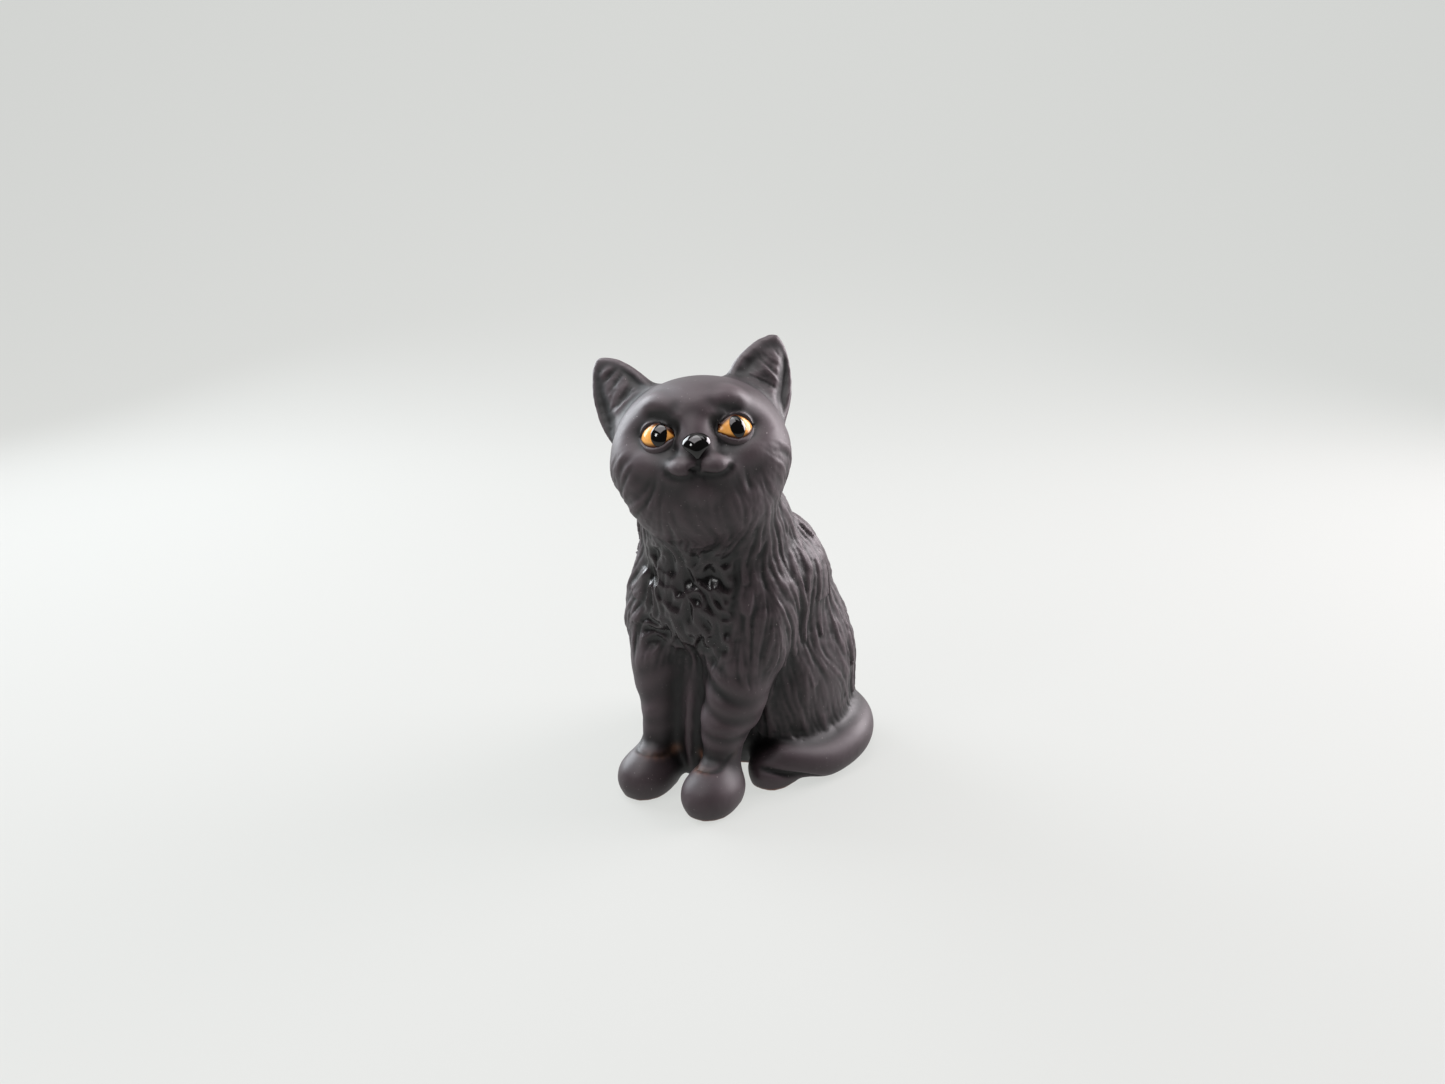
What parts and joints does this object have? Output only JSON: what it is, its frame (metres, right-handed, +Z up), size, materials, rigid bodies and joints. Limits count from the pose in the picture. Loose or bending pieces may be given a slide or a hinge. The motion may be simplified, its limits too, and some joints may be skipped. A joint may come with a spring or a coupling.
{
  "type": "cat figurine",
  "caption": "Seated cat with its head turned and lifted, in dark satin-glazed ceramic with moulded fur, amber eyes and a glossy black nose; a shelf ornament that stands on its flat base.",
  "frame": {"origin": "in the face it stands on, on the closing slab below the shoulders", "axes": "+Z up; the cat sits facing -Y, and its own left side is +X"},
  "size_m": [0.0883, 0.1053, 0.1572],
  "materials": {
    "dark_glaze": "satin near-black glaze with a warm brown sheen on the raised fur",
    "bare_bisque": "unglazed fired body",
    "amber_enamel": "glossy amber enamel",
    "black_enamel": "glossy black enamel"
  },
  "bodies": {
    "root": {"body_casting": "dark_glaze", "head_casting": "dark_glaze", "left_ear": "dark_glaze", "right_ear": "dark_glaze", "left_foreleg": "dark_glaze", "right_foreleg": "dark_glaze", "left_hind_foot": "dark_glaze", "right_hind_foot": "dark_glaze", "tail": "dark_glaze", "base_slab": "bare_bisque", "left_iris": "amber_enamel", "right_iris": "amber_enamel", "left_pupil": "black_enamel", "right_pupil": "black_enamel", "nose_enamel": "black_enamel"}
  },
  "joints": []
}
